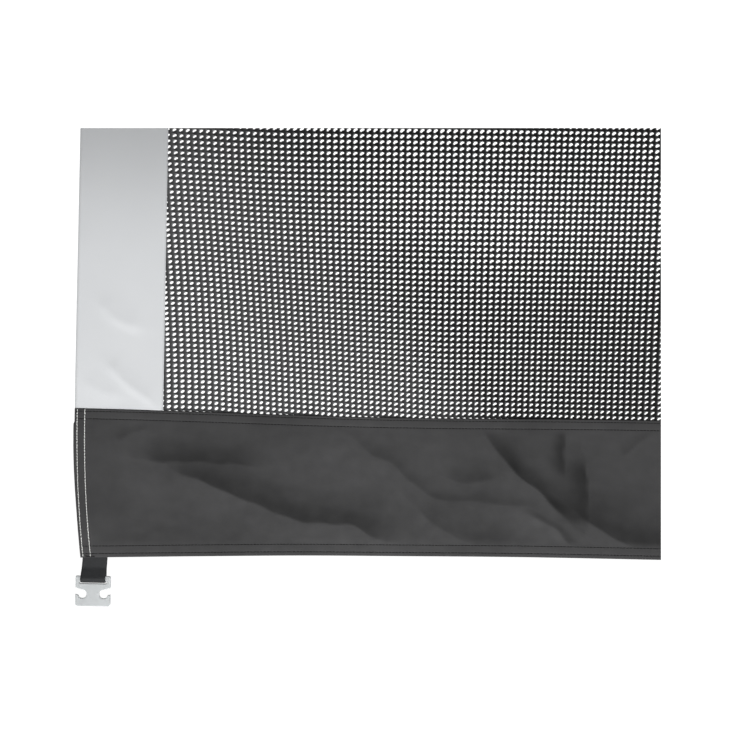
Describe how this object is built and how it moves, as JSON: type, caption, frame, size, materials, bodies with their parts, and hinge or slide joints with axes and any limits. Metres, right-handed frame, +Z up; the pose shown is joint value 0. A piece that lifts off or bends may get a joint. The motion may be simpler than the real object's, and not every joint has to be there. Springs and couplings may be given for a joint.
{
  "type": "fabric wind and sun screen",
  "caption": "Hanging cloth screen with a mesh panel, light border strips, a ground skirt and peg hooks on webbing tabs.",
  "frame": {"origin": "on the welt's axis, half way along it", "axes": "+X along the welt, +Y away from the front face, +Z up"},
  "size_m": [1.2, 0.0101, 0.8526],
  "materials": {
    "light_cloth": "smooth coated cloth",
    "mesh": "coated knitted mesh",
    "skirt_cloth": "coated woven cloth, slight sheen",
    "light_thread": "spun thread",
    "black_thread": "spun thread",
    "webbing": "ribbed webbing",
    "welt_cord": "extruded",
    "welt_tape": "coated tape",
    "hook_plastic": "moulded, slightly translucent"
  },
  "bodies": {
    "screen": {"keder_cord": "welt_cord", "keder_tape": "welt_tape", "keder_thread": "light_thread", "top_band": "light_cloth", "top_band_thread": "light_thread", "mesh_panel": "mesh", "skirt_heading": "skirt_cloth", "skirt_seam_thread": "black_thread", "left_side_strip": "light_cloth", "right_side_strip": "light_cloth", "left_heading_thread": "light_thread", "right_heading_thread": "light_thread"},
    "skirt": {"skirt_flap": "skirt_cloth", "bottom_hem_thread": "black_thread", "left_side_hem_thread": "light_thread", "right_side_hem_thread": "light_thread", "left_bar_tack": "black_thread", "right_bar_tack": "black_thread", "left_tab_anchor": "webbing", "right_tab_anchor": "webbing"},
    "left_tab": {"left_tab_loop": "webbing"},
    "right_tab": {"right_tab_loop": "webbing"},
    "left_hook": {"left_peg_hook": "hook_plastic"},
    "right_hook": {"right_peg_hook": "hook_plastic"}
  },
  "joints": [
    {"name": "skirt_fold", "type": "hinge", "parent": "screen", "child": "skirt", "pos_m": [0, -0.00005, -0.672], "axis": [1, 0, 0], "range_deg": [-90, 90]},
    {"name": "left_tab_flex", "type": "hinge", "parent": "skirt", "child": "left_tab", "pos_m": [-0.5788, 0.00205, -0.802], "axis": [1, 0, 0], "range_deg": [-90, 90]},
    {"name": "right_tab_flex", "type": "hinge", "parent": "skirt", "child": "right_tab", "pos_m": [0.5788, 0.00205, -0.802], "axis": [1, 0, 0], "range_deg": [-90, 90]},
    {"name": "left_hook_pivot", "type": "hinge", "parent": "left_tab", "child": "left_hook", "pos_m": [-0.5788, 0.00205, -0.8212], "axis": [1, 0, 0], "range_deg": [-110, 110]},
    {"name": "right_hook_pivot", "type": "hinge", "parent": "right_tab", "child": "right_hook", "pos_m": [0.5788, 0.00205, -0.8212], "axis": [1, 0, 0], "range_deg": [-110, 110]}
  ]
}
